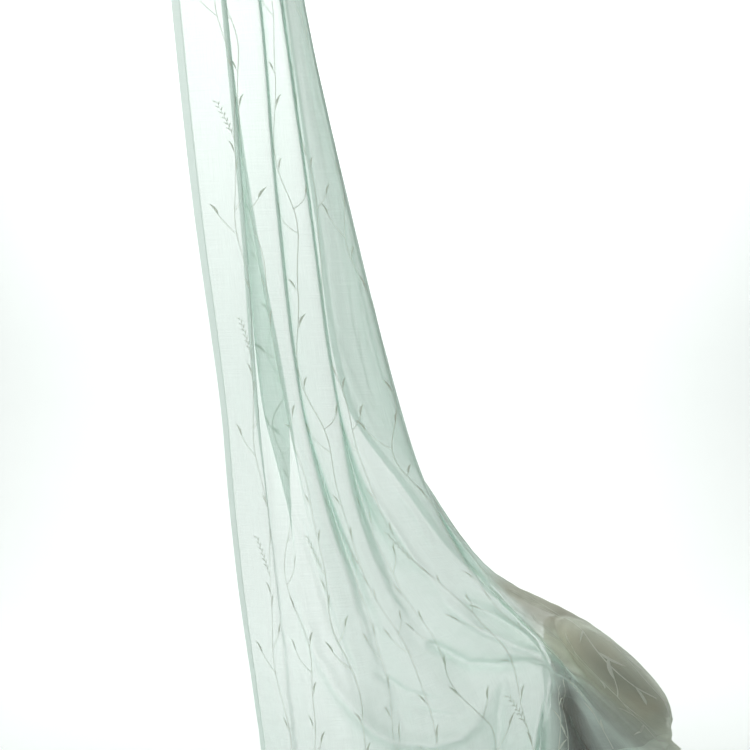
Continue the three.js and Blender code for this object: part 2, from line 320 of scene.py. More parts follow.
@dataclass
class Drape:
    """The curtain's middle surface, worked out from its fold lines, drags and creases.

    Each of the stretches holds where it starts and ends down the cloth, and its number of rows.
    Creases fade out over the reach, which is two depths. clear and close are the room that the
    cloth keeps from the seat, first under its folds and then under its creases. The crumples get
    livelier between two distances down the cloth, and they are calm near its sides.
    """

    stretches: tuple[tuple[float, float, int], ...] = (
        (0, 1330, 96),
        (1330, 1760, 62),
        (1760, CUT.drop, 212),
    )
    columns: int = 253
    least_turn: float = 12
    turn_share: float = 0.2
    drag_taper: float = 0.18
    crease_taper: float = 0.2
    reach: tuple[float, float] = (40, 100)
    clear: float = 11
    close: float = 5
    crumple: float = 1.6
    long_share: float = 0.35
    long_stretch: float = 0.06
    lively_share: float = 0.75
    livelier: tuple[float, float] = (1400, 1950)
    calm_edge: float = 60
    easing_from: float = -132
    front_limit: float = -157
    downs: np.ndarray = field(init=False)
    flats: np.ndarray = field(init=False)
    points: np.ndarray = field(init=False)
    normals: np.ndarray = field(init=False)

    def __post_init__(self) -> None:
        """Works the surface out once, on a grid of rows down the cloth and columns across it."""
        rows = [np.linspace(start, end, count, endpoint=False) for start, end, count in self.stretches]
        self.downs = np.concatenate([*rows, [float(CUT.drop)]])
        self.flats = np.linspace(0, CUT.width, self.columns)
        points = self._clear_of_seat(self._folded(), self.clear)
        points = self._creased(points, DRAGS, self.drag_taper)
        points = self._clear_of_seat(points, self.clear)
        points = self._creased(points, CREASES, self.crease_taper)
        points = self._crumpled(points)
        self.points = self._kept_back(self._clear_of_seat(points, self.close))
        self.normals = self._facing(self.points)

    def _folded(self) -> np.ndarray:
        """Gives the bare folds: a smooth leg of cloth between each two fold lines."""
        places = np.array([line.places() for line in FOLDS], float).transpose(1, 0, 2)
        knots = np.array([section.down for section in SECTIONS], float)
        tips = glide(knots, places, self.downs)
        edges = np.array([line.flat for line in FOLDS], float)
        leg = np.clip(np.searchsorted(edges, self.flats) - 1, 0, len(edges) - 2)
        widths = edges[leg + 1] - edges[leg]
        least = np.minimum(self.least_turn, self.turn_share * widths)
        index = np.arange(len(edges))
        across = tips[:, np.minimum(index + 1, len(edges) - 1)] - tips[:, np.maximum(index - 1, 0)]
        length = np.linalg.norm(across, axis=2, keepdims=True)
        ways = across / np.maximum(length, 1e-9)
        go = ways[:, leg] * np.maximum(length[:, leg] / 2, least[None, :, None])
        come = ways[:, leg + 1] * np.maximum(length[:, leg + 1] / 2, least[None, :, None])
        t = ((self.flats - edges[leg]) / widths)[None, :, None]
        return hermite(tips[:, leg], tips[:, leg + 1], go, come, t)

    def _creased(self, points: np.ndarray, creases: Sequence[Crease], taper: float) -> np.ndarray:
        """Moves the cloth near each crease. Cloth far behind the front stays where it is.

        Args:
            points: The cloth's points.
            creases: The creases, in any order.
            taper: Share of its length over which each end of a crease fades.

        Returns:
            The moved points.
        """
        moved = points.copy()
        held = 1 - smooth(points[..., 1], *self.reach)
        for crease in creases:
            nearest = np.full(points.shape[:2], np.inf)
            share = np.zeros(points.shape[:2])
            line = np.array(crease.along)
            for i, (a, b) in enumerate(zip(line[:-1], line[1:])):
                d = b - a
                x, z = points[..., 0] - a[0], points[..., 2] - a[1]
                t = np.clip((x * d[0] + z * d[1]) / (d @ d), 0, 1)
                away = np.hypot(x - t * d[0], z - t * d[1])
                closer = away < nearest
                nearest = np.where(closer, away, nearest)
                share = np.where(closer, (i + t) / (len(line) - 1), share)
            fade = np.clip(np.minimum(share, 1 - share) / taper, 0, 1)
            off = nearest / crease.width
            form = np.exp(-off) * (1 + off) if crease.shape is Shape.SHARP else np.exp(-(off**2))
            moved[..., 1] -= crease.lift * fade * form * held
        return moved

    def _crumpled(self, points: np.ndarray) -> np.ndarray:
        """Adds the small unevenness of soft cloth: long and faint above, livelier below."""
        flat, down = self.flats[None, :], self.downs[:, None]
        long = self.long_share * LONG_WAVES.height(flat, down * self.long_stretch)
        lively = self.lively_share * LIVELY_WAVES.height(flat, down)
        low = smooth(down, *self.livelier)
        edge = smooth(np.minimum(flat, CUT.width - flat), 0, self.calm_edge) * 0.6 + 0.4
        lift = self.crumple * edge * (long * (1 - 0.5 * low) + lively * low)
        return points + lift[..., None] * self._facing(points)

    def _clear_of_seat(self, points: np.ndarray, clear: float) -> np.ndarray:
        """Pushes the cloth out of the seat and the drum.

        Args:
            points: The cloth's points.
            clear: Room that is kept between the seat and the cloth.

        Returns:
            The points, moved out along lines from the seat's middle.
        """
        away = points - np.array([STOOL.x, STOOL.y, STOOL.middle])
        height = away[..., 2] + STOOL.slope * away[..., 0]
        foot = np.minimum(0, height)
        away[..., 2] = height - foot
        level = (np.hypot(away[..., 0], away[..., 1]) / (STOOL.radius + clear)) ** 2
        level += (away[..., 2] / (STOOL.rise + clear)) ** 2
        away /= np.sqrt(np.clip(level, 1e-6, None))[..., None]
        out = away + np.array([STOOL.x, STOOL.y, STOOL.middle])
        out[..., 2] += foot - STOOL.slope * away[..., 0]
        return np.where((level < 1)[..., None], out, points)

    def _kept_back(self, points: np.ndarray) -> np.ndarray:
        """Eases the foremost folds back, so that none comes past the front limit."""
        over = np.maximum(self.easing_from - points[..., 1], 0)
        room = self.easing_from - self.front_limit
        kept = points.copy()
        kept[..., 1] = points[..., 1] + over - room * np.tanh(over / room)
        return kept

    @staticmethod
    def _facing(points: np.ndarray) -> np.ndarray:
        """Gives the surface's unit normals, towards the room where the cloth lies flat."""
        along, across = np.gradient(points, axis=0), np.gradient(points, axis=1)
        normal = np.cross(along, across)
        return normal / np.maximum(np.linalg.norm(normal, axis=2, keepdims=True), 1e-9)

    def at(self, flat: np.ndarray, down: np.ndarray, lift: float = 0.0) -> np.ndarray:
        """Finds points of the cut cloth on the draped surface.

        Args:
            flat: Distances from the left hem.
            down: Distances from the top edge.
            lift: How far above the surface the points lie.

        Returns:
            The points, in an array with one more axis than flat.
        """
        c = np.interp(flat, self.flats, np.arange(len(self.flats)))
        r = np.interp(down, self.downs, np.arange(len(self.downs)))
        c0 = np.minimum(c.astype(int), len(self.flats) - 2)
        r0 = np.minimum(r.astype(int), len(self.downs) - 2)
        u, v = (c - c0)[..., None], (r - r0)[..., None]

        def read(grid: np.ndarray) -> np.ndarray:
            """Reads a grid between its points."""
            top = grid[r0, c0] * (1 - u) + grid[r0, c0 + 1] * u
            low = grid[r0 + 1, c0] * (1 - u) + grid[r0 + 1, c0 + 1] * u
            return top * (1 - v) + low * v

        return read(self.points) + lift * read(self.normals)

    def stitched(self, spots: np.ndarray, height: np.ndarray) -> tuple[np.ndarray, np.ndarray]:
        """Raises thread on both faces of the cloth.

        Args:
            spots: Grids of places on the cut cloth, across and down.
            height: How far each place of a grid stands out from the middle of the cloth.

        Returns:
            The grids on the face towards the room, and those on the other face. The columns of
            these run backwards, so that they face away from the room.
        """
        base = self.at(spots[..., 0], spots[..., 1])
        lift = height[..., None] * (self.at(spots[..., 0], spots[..., 1], 1.0) - base)
        return base + lift, (base - lift)[..., ::-1, :]


# Meshes


def linked(name: str, bm: bmesh.types.BMesh) -> bpy.types.Object:
    """Makes a smooth shaded object of a bmesh, which it frees, and links it to the scene."""
    mesh = bpy.data.meshes.new(name)
    bm.to_mesh(mesh)
    bm.free()
    mesh.shade_smooth()
    piece = bpy.data.objects.new(name, mesh)
    bpy.context.scene.collection.objects.link(piece)
    return piece


def patches(name: str, parts: Sequence[np.ndarray], maps: Sequence[np.ndarray]) -> bpy.types.Object:
    """Makes one mesh of many small grids that all have the same number of columns.

    One long grid is made and parted where one patch ends and the next begins, and its points
    are then moved to their places.

    Args:
        name: Name of the object.
        parts: Each patch's points in millimetres, as rows, columns and x, y, z.
        maps: Each patch's places on the UV map, as rows, columns and u, v.

    Returns:
        The new object, smooth shaded.
    """
    columns = parts[0].shape[1]
    rows = [part.shape[0] for part in parts]
    bm = bmesh.new()
    bmesh.ops.create_grid(bm, x_segments=columns - 1, y_segments=sum(rows) - 1, size=1.0)
    bm.faces.ensure_lookup_table()
    parted = [
        bm.faces[(end - 1) * (columns - 1) + c] for end in np.cumsum(rows)[:-1] for c in range(columns - 1)
    ]
    bmesh.ops.delete(bm, geom=parted, context="FACES")
    piece = linked(name, bm)
    mesh = piece.data
    points = np.concatenate([part.reshape(-1, 3) for part in parts]) * MM
    mesh.vertices.foreach_set("co", points.astype(np.float32).ravel())
    places = np.concatenate([chart.reshape(-1, 2) for chart in maps])
    corners = np.empty(len(mesh.loops), np.int32)
    mesh.loops.foreach_get("vertex_index", corners)
    layer = mesh.uv_layers.new(name="Cut")
    layer.uv.foreach_set("vector", places[corners].astype(np.float32).ravel())
    mesh.update()
    return piece


def spun(name: str, profile: Sequence[tuple[float, float]], steps: int) -> bpy.types.Object:
    """Spins a profile of radius and height, in millimetres, round the stool's axis.

    Args:
        name: Name of the object.
        profile: Points from the axis below to the axis above.
        steps: Steps of the full turn.

    Returns:
        The new object, closed and smooth shaded, centred on x = y = 0.
    """
    bm = bmesh.new()
    verts = [bmesh.ops.create_vert(bm, co=(r * MM, 0, z * MM))["vert"][0] for r, z in profile]
    edges = [bm.edges.new(pair) for pair in zip(verts[:-1], verts[1:])]
    turn = {"cent": (0, 0, 0), "axis": (0, 0, 1), "angle": 2 * math.pi}
    bmesh.ops.spin(bm, geom=verts + edges, steps=steps, use_merge=True, **turn)
    bmesh.ops.remove_doubles(bm, verts=bm.verts, dist=1e-6)
    bmesh.ops.recalc_face_normals(bm, faces=bm.faces)
    return linked(name, bm)


# Materials


@dataclass(frozen=True)
class Value:
    """A number socket. Python's operators on it add Math nodes."""

    kit: NodeKit
    socket: Any

    def _math(self, operation: str, *inputs: Any) -> Value:
        """Adds a Math node of that operation."""
        node = self.kit.add("ShaderNodeMath", {"operation": operation}, dict(enumerate(inputs)))
        return Value(self.kit, node.outputs[0])

    def __add__(self, other: Any) -> Value:
        """Adds."""
        return self._math("ADD", self, other)

    __radd__ = __add__

    def __sub__(self, other: Any) -> Value:
        """Takes other from this."""
        return self._math("SUBTRACT", self, other)

    def __rsub__(self, other: Any) -> Value:
        """Takes this from other."""
        return self._math("SUBTRACT", other, self)

    def __mul__(self, other: Any) -> Value:
        """Multiplies."""
        return self._math("MULTIPLY", self, other)

    __rmul__ = __mul__

    def __truediv__(self, other: Any) -> Value:
        """Divides this by other."""
        return self._math("DIVIDE", self, other)

    def __rtruediv__(self, other: Any) -> Value:
        """Divides other by this."""
        return self._math("DIVIDE", other, self)

    def __pow__(self, other: Any) -> Value:
        """Raises this to other."""
        return self._math("POWER", self, other)

    def __rpow__(self, other: Any) -> Value:
        """Raises other to this."""
        return self._math("POWER", other, self)

    def sine(self) -> Value:
        """Gives the sine of the value in radians."""
        return self._math("SINE", self)

    def size(self) -> Value:
        """Gives the value without its sign."""
        return self._math("ABSOLUTE", self)

    def larger(self, other: Any) -> Value:
        """Gives the larger of the two."""
        return self._math("MAXIMUM", self, other)

    def rise(self, low: float, high: float) -> Value:
        """Rises smoothly from 0 at low to 1 at high, or falls where high is the smaller."""
        node = self.kit.add(
            "ShaderNodeMapRange",
            {"interpolation_type": "SMOOTHSTEP"},
            {0: self, 1: min(low, high), 2: max(low, high), 3: float(low > high), 4: float(high > low)},
        )
        return Value(self.kit, node.outputs[0])


class NodeKit:
    """Builds the nodes of one material."""

    def __init__(self, name: str) -> None:
        """Makes the material, with no nodes yet."""
        self.material = bpy.data.materials.new(name)
        self.material.use_nodes = True
        self.tree = self.material.node_tree
        self.tree.nodes.clear()

    def add(
        self, kind: str, settings: dict[str, Any] | None = None, sockets: dict[Any, Any] | None = None
    ) -> Any:
        """Adds a node.

        Args:
            kind: The node's type.
            settings: Its properties, set first.
            sockets: Values or links by socket name or number.

        Returns:
            The node.
        """
        node = self.tree.nodes.new(kind)
        for name, value in (settings or {}).items():
            setattr(node, name, value)
        for name, value in (sockets or {}).items():
            target = node.inputs[name]
            if isinstance(value, Value):
                self.tree.links.new(value.socket, target)
            elif isinstance(value, bpy.types.NodeSocket):
                self.tree.links.new(value, target)
            else:
                target.default_value = value
        return node

    def cut(self) -> tuple[Value, Value]:
        """Gives the place on the cut cloth, across and down, in millimetres."""
        uv = self.add("ShaderNodeUVMap", {"uv_map": "Cut"}).outputs[0]
        parts = self.add("ShaderNodeSeparateXYZ", None, {0: uv})
        return tuple(Value(self, parts.outputs[i]) * CUT.drop for i in (0, 1))

    def place(self, scale: Row = (1, 1, 1)) -> Any:
        """Gives the place on the object, scaled by axis."""
        where = self.add("ShaderNodeTexCoord").outputs["Object"]
        return self.add("ShaderNodeMapping", None, {"Vector": where, "Scale": scale}).outputs[0]

    def noise(self, vector: Any, scale: float, detail: float = 2.0, rough: float = 0.5) -> Value:
        """Adds a noise texture and gives its value, 0 to 1."""
        sockets = {"Vector": vector, "Scale": scale, "Detail": detail, "Roughness": rough}
        return Value(self, self.add("ShaderNodeTexNoise", None, sockets).outputs[0])

    def spot(self, *parts: Any) -> Any:
        """Puts three numbers together as a vector."""
        return self.add("ShaderNodeCombineXYZ", None, dict(enumerate(parts))).outputs[0]

    def blend(self, share: Value, first: Any, second: Any) -> Any:
        """Mixes two colours, each a row or a socket, and gives the colour socket."""
        one, other = ((*end, 1.0) if isinstance(end, tuple) else end for end in (first, second))
        return self.add("ShaderNodeMix", {"data_type": "RGBA"}, {0: share, 6: one, 7: other}).outputs[2]

    def bump(self, height: Value, distance: float, strength: float = 1.0) -> Any:
        """Gives the normal of a height map, with its depth in metres."""
        sockets = {"Height": height, "Distance": distance, "Strength": strength}
        return self.add("ShaderNodeBump", None, sockets).outputs[0]

    def finish(self, through: float = 0.0, **sockets: Any) -> bpy.types.Material:
        """Adds the surface shader.

        Args:
            through: Share of the light that thin cloth lets through its threads.
            sockets: The shader's sockets. _ in a name stands for a space.

        Returns:
            The finished material.
        """
        named = {name.replace("_", " "): value for name, value in sockets.items()}
        surface = self.add("ShaderNodeBsdfPrincipled", None, named).outputs[0]
        if through:
            lit = self.add("ShaderNodeBsdfTranslucent", None, {"Color": named["Base Color"]}).outputs[0]
            open_air = self.add("ShaderNodeBsdfTransparent").outputs[0]
            parts = {0: named["Alpha"], 1: open_air, 2: lit}
            thin = self.add("ShaderNodeMixShader", None, parts).outputs[0]
            surface = self.add("ShaderNodeMixShader", None, {0: through, 1: surface, 2: thin}).outputs[0]
        self.add("ShaderNodeOutputMaterial", None, {0: surface})
        return self.material


@dataclass(frozen=True)
class Region:
    """A soft-edged part of the cut cloth, with its ramps from 0 to 1 across it and down it."""

    across: tuple[tuple[float, float], ...]
    down: tuple[tuple[float, float], ...] = ()

    def share(self, u: Value, v: Value) -> Value:
        """Gives 1 inside the region and 0 outside it."""
        first, *more = [u.rise(*ramp) for ramp in self.across] + [v.rise(*ramp) for ramp in self.down]
        for ramp in more:
            first = first * ramp
        return first


MIDDLE = Region(across=((300, 380), (1260, 1120)))
GATHERED = Region(across=((118, 150),), down=((1750, 1350),))
TAUT = Region(across=((900, 960),), down=((1960, 2120),))
WEDGE = Region(across=((900, 935), (1050, 1000)), down=((2185, 2240),))
# Where the cloth near the seat gets painted shade with a painted brown reflection of the stool.
PAINTED_SEAT_SHADE_ZONE = Region(across=((1130, 1215),), down=((1760, 1890), (2130, 2010)))
# Where the cloth over the seat gets a warm painted reflection of the seat.
PAINTED_REFLECTION_ZONE = Region(across=((1040, 1170),), down=((1960, 2120),))


@dataclass(frozen=True)
class VoileFinish:
    """Sheer voile: fine plain weave with slubs, doubled over at its hems.

    A cover is the share of light that the threads stop. It falls where the weave is pulled open.
    Near the seat the cloth is tinted dark and brown: painted shade with a painted reflection of
    the stool. Over the seat it is tinted warm: a painted reflection of the seat. The pitch of the
    threads is in millimetres.
    """

    thread: Row = (0.755, 0.905, 0.84)
    slub: Row = (0.82, 0.945, 0.89)
    # A warm painted reflection of the seat, laid on the cloth over it.
    painted_seat_reflection: Row = (0.83, 0.93, 0.77)
    # Painted shade with a painted brown reflection of the stool, laid on the cloth near the seat.
    painted_seat_shade: Row = (0.50, 0.50, 0.40)
    painted_seat_shade_share: float = 0.85
    painted_seat_shade_cover: float = 0.2
    weave_share: float = 0.25
    slub_share: float = 0.35
    slub_scales: tuple[float, float] = (0.9, 0.012)
    cover: float = 0.76
    edge_cover: float = 0.59
    gathered_loss: float = 0.13
    taut_cover: float = 0.60
    wedge_cover: float = 0.18
    hem_cover: float = 0.88
    hem_blur: float = 0.8
    through: float = 0.2
    pitch: float = 0.42
    relief: float = 0.00035

    def material(self) -> bpy.types.Material:
        """Makes the material."""
        kit = NodeKit("voile")
        u, v = kit.cut()
        turn = 2 * math.pi / self.pitch
        warp = (u * turn).sine() * 0.5 + 0.5
        weft = (v * turn).sine() * 0.5 + 0.5
        fine, long = self.slub_scales
        slub_warp = kit.noise(kit.spot(u * fine, v * long, 0.0), 1.0, 3.0, 0.6)
        slub_weft = kit.noise(kit.spot(u * long, v * fine, 7.0), 1.0, 3.0, 0.6)
        slubs = slub_warp * 0.5 + slub_weft * 0.5
        # Painted shade near the seat: it darkens the colour and thickens the cover.
        painted_seat_shade = PAINTED_SEAT_SHADE_ZONE.share(u, v) * self.painted_seat_shade_share
        weave = warp.larger(weft) - 0.68
        uneven = (slubs - 0.5) * self.slub_share
        cover = self._cover(u, v) + painted_seat_shade * self.painted_seat_shade_cover + weave * self.weave_share + uneven
        hem = self._hems(u, v)
        cover = cover * (1 - hem) + self.hem_cover * hem
        facing = Value(kit, kit.add("ShaderNodeLayerWeight", None, {"Blend": 0.5}).outputs["Facing"])
        alpha = 1 - (1 - cover).larger(0.02) ** (1.2 / (1.2 - facing))
        cloudy = kit.noise(kit.spot(u * 0.02, v * 0.008, 3.0), 1.0, 3.0)
        height = (warp * weft) * 0.35 + slubs * 0.6 + cloudy * 1.5 + self._stitch_line(u, v)
        cloth = kit.blend(slubs.rise(0.35, 0.7), self.thread, self.slub)
        # Painted reflection of the seat on the cloth over it.
        painted_reflection_cloth = kit.blend(PAINTED_REFLECTION_ZONE.share(u, v), cloth, self.painted_seat_reflection)
        return kit.finish(
            through=self.through,
            # Painted shade and painted reflection laid on the cloth near and over the seat.
            Base_Color=kit.blend(painted_seat_shade, painted_reflection_cloth, self.painted_seat_shade),
            Roughness=0.62 - slubs * 0.16,
            Alpha=alpha,
            Normal=kit.bump(height, self.relief, 0.6),
            Sheen_Weight=0.2,
            Sheen_Roughness=0.4,
            Specular_IOR_Level=0.28,
        )

    def _cover(self, u: Value, v: Value) -> Value:
        """Gives the cover of the single cloth, before its weave and slubs."""
        cover = self.edge_cover + MIDDLE.share(u, v) * (self.cover - self.edge_cover)
        cover = cover - GATHERED.share(u, v) * self.gathered_loss
        cover = cover + TAUT.share(u, v) * (self.taut_cover - self.cover)
        return cover + WEDGE.share(u, v) * (self.wedge_cover - self.taut_cover)

    def _hems(self, u: Value, v: Value) -> Value:
        """Gives 1 on the doubled hems and 0 elsewhere."""
        blur = self.hem_blur
        right, low = CUT.width - CUT.side_hem, CUT.drop - CUT.bottom_hem
        inside = Region(
            across=((CUT.side_hem - blur, CUT.side_hem + blur), (right + blur, right - blur)),
            down=((CUT.top_hem - blur, CUT.top_hem + blur), (low + blur, low - blur)),
        )
        return 1 - inside.share(u, v)

    @staticmethod
    def _stitch_line(u: Value, v: Value) -> Value:
        """Gives the groove that a row of stitches pulls along each hem."""
        across, down = CUT.seams()
        rows = [u - place for place in across] + [v - place for place in down]
        left, right, top, low = (row.size().rise(2.4, 0.4) for row in rows)
        return (left + right + low + top) * -1.4


@dataclass(frozen=True)
class ThreadFinish:
    """Shiny embroidery thread, laid side by side."""

    name: str = "embroidery_thread"
    light: Row = (0.94, 0.97, 0.90)
    shade: Row = (0.76, 0.82, 0.74)
    through: float = 0.4
    pitch: float = 0.45

    def material(self) -> bpy.types.Material:
        """Makes the material. The map's v runs along each motif, in millimetres."""
        kit = NodeKit(self.name)
        u, v = kit.cut()
        strands = ((v + u.size() * 0.6) * (2 * math.pi / self.pitch)).sine() * 0.5 + 0.5
        tone = kit.noise(kit.place((60, 60, 60)), 1.0, 2.0)
        share = strands * 0.45 + tone * 0.55
        return kit.finish(
            through=self.through,
            Base_Color=kit.blend(share, self.shade, self.light),
            Roughness=0.5 - strands * 0.14,
            Alpha=1.0,
            Normal=kit.bump(strands, 0.00018, 0.8),
            Sheen_Weight=0.15,
            Specular_IOR_Level=0.45,
        )


@dataclass(frozen=True)
class SeatFinish:
    """Dark woven upholstery with a brown tone, paler towards its left end: painted light there."""

    dark: Row = (0.045, 0.034, 0.018)
    brown: Row = (0.31, 0.19, 0.085)
    # Painted light: the paler tone of the left end, and the span of x over which it comes in.
    painted_light_tone: Row = (0.62, 0.52, 0.38)
    fade: tuple[float, float] = (880, 756)
    pitch: float = 2.2

    def material(self) -> bpy.types.Material:
        """Makes the material."""
        kit = NodeKit("seat_weave")
        broad = kit.noise(kit.place((7, 7, 16)), 1.0, 3.0).rise(0.42, 0.68)
        where = kit.add("ShaderNodeSeparateXYZ", None, {0: kit.place((1000, 1000, 1000))})
        x, y, z = (Value(kit, where.outputs[i]) for i in range(3))
        turn = 2 * math.pi / self.pitch
        warp = (x * turn).sine()
        weft = ((y + z) * turn).sine()
        weave = warp * weft * 0.5 + 0.5
        fuzz = kit.noise(kit.place((900, 900, 900)), 1.0, 2.0)
        share = broad * 0.7 + weave * 0.2 + fuzz * 0.1
        return kit.finish(
            # Paler towards the left end: painted light.
            Base_Color=kit.blend(x.rise(*self.fade), kit.blend(share, self.dark, self.brown), self.painted_light_tone),
            Roughness=0.96 - weave * 0.1,
            Specular_IOR_Level=0.15,
            Normal=kit.bump(weave * 0.7 + fuzz * 0.3, 0.0006, 0.7),
            Sheen_Weight=0.2,
        )


@dataclass(frozen=True)
class WoodFinish:
    """Dark stained wood with a fine upright grain and a satin surface."""

    dark: Row = (0.018, 0.011, 0.007)
    light: Row = (0.075, 0.042, 0.022)

    def material(self) -> bpy.types.Material:
        """Makes the material."""
        kit = NodeKit("stained_wood")
        warp = kit.noise(kit.place((5, 5, 0.8)), 1.0, 2.0)
        grain = kit.noise(kit.place((70, 70, 2.4)), 1.0, 5.0, 0.62)
        pores = kit.noise(kit.place((420, 420, 9)), 1.0, 2.0).rise(0.60, 0.72)
        share = (grain + warp * 0.6 - 0.3).rise(0.3, 0.75)
        return kit.finish(
            Base_Color=kit.blend(share * (1 - pores * 0.6), self.dark, self.light),
            Roughness=0.36 + pores * 0.25 + (1 - share) * 0.08,
            Normal=kit.bump(share * 0.5 - pores * 0.5, 0.0005, 0.5),
        )


@dataclass(frozen=True)
class StudioFinish:
    """The pale matt floor and backdrop."""

    tone: Row = (0.93, 0.968, 0.958)

    def material(self) -> bpy.types.Material:
        """Makes the material."""
        kit = NodeKit("studio_paper")
        grain = kit.noise(kit.place((300, 300, 300)), 1.0, 2.0)
        pale = tuple(c * 0.985 for c in self.tone)
        paper = kit.blend(grain, pale, self.tone)
        return kit.finish(Base_Color=paper, Roughness=0.95, Specular_IOR_Level=0.1)


# Sub-assemblies


def dress(piece: bpy.types.Object, material: bpy.types.Material) -> None:
    """Gives a piece its material and its ride."""
    piece.data.materials.clear()
    piece.data.materials.append(material)
    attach(piece, "root")
    LOG.info("%s: %d faces", piece.name, len(piece.data.polygons))


@dataclass
class Panel:
    """The voile panel itself, with its own hems."""

    drape: Drape

    def build(self) -> bpy.types.Object:
        """Makes the cloth on the folds of its solid, which it replaces.

        Returns:
            The cloth.
        """
        flat, down = np.meshgrid(self.drape.flats, self.drape.downs)
        chart = np.stack([flat, down], axis=2) / CUT.drop
        cloth = patches("voile_panel", [self.drape.points], [chart])
        cloth.data.flip_normals()
        dress(cloth, VoileFinish().material())
        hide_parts("curtain")
        return cloth


class Side(Enum):
    """The side of a stem that a sprig grows from, as seen from the room."""

    LEFT = -1
    RIGHT = 1


class Tip(Enum):
    """What a twig ends in."""

    LEAF = "leaf"
    EAR = "ear"


@dataclass(frozen=True)
class Sprig:
    """A twig on a stem: where it leaves it, how long it is, how it leans and what it ends in."""

    down: float
    side: Side
    twig: float
    lean: float
    tip: Tip
    size: float


@dataclass(frozen=True)
class Stem:
    """One stitched stem with its sprigs, repeated down the cloth."""

    sway: float
    turn: float
    sprigs: tuple[Sprig, ...]


REAPED = Stem(
    sway=15,
    turn=0.0,
    sprigs=(
        Sprig(66, Side.LEFT, 7, 0.75, Tip.LEAF, 27),
        Sprig(150, Side.RIGHT, 8, 0.6, Tip.LEAF, 29),
        Sprig(228, Side.LEFT, 14, 0.45, Tip.EAR, 96),
        Sprig(262, Side.LEFT, 6, 0.6, Tip.LEAF, 29),
        Sprig(296, Side.RIGHT, 6, 0.55, Tip.LEAF, 25),
        Sprig(388, Side.RIGHT, 46, 0.8, Tip.LEAF, 31),
        Sprig(446, Side.LEFT, 58, 0.7, Tip.LEAF, 32),
    ),
)
TRAILING = Stem(
    sway=25,
    turn=1.9,
    sprigs=(
        Sprig(58, Side.RIGHT, 62, 0.85, Tip.LEAF, 31),
        Sprig(118, Side.LEFT, 9, 0.7, Tip.LEAF, 33),
        Sprig(196, Side.RIGHT, 9, 0.6, Tip.LEAF, 30),
        Sprig(256, Side.LEFT, 66, 0.75, Tip.LEAF, 31),
        Sprig(318, Side.RIGHT, 8, 0.7, Tip.LEAF, 28),
        Sprig(392, Side.LEFT, 10, 0.6, Tip.LEAF, 29),
        Sprig(462, Side.RIGHT, 40, 0.7, Tip.LEAF, 30),
    ),
)


@dataclass(frozen=True)
class Trail:
    """A stem placed over the stool from listed points: its points as across and down, and its leaves.

    Each leaf is given by its share along the stem, side, lean from it and length.
    """

    path: tuple[tuple[float, float], ...]
    leaves: tuple[tuple[float, Side, float, float], ...]


TRAILS = (
    Trail(
        path=((1226, 1930), (1244, 1985), (1256, 2045), (1250, 2115),
              (1240, 2160), (1232, 2198), (1236, 2228), (1251, 2246)),
        leaves=((0.28, Side.LEFT, 0.7, 28), (0.5, Side.RIGHT, 0.7, 26),
                (0.66, Side.LEFT, 0.7, 30), (0.88, Side.RIGHT, 0.8, 28)),
    ),
    Trail(
        path=((1288, 2130), (1266, 2190), (1256, 2226), (1262, 2260), (1270, 2330)),
        leaves=((0.3, Side.LEFT, 0.7, 30), (0.7, Side.RIGHT, 0.6, 34)),
    ),
    Trail(
        path=((1196, 2150), (1188, 2205), (1176, 2255), (1150, 2300),
              (1130, 2345), (1124, 2385), (1116, 2425)),
        leaves=((0.22, Side.RIGHT, 0.6, 32), (0.4, Side.LEFT, 0.6, 42),
                (0.62, Side.RIGHT, 0.8, 34), (0.8, Side.LEFT, 0.7, 32)),
    ),
    Trail(
        path=((914, 2400), (916, 2345), (926, 2290), (934, 2245), (950, 2218), (970, 2206)),
        leaves=((0.2, Side.RIGHT, 0.7, 34), (0.4, Side.LEFT, 0.7, 30), (0.55, Side.RIGHT, 0.9, 34)),
    ),
)


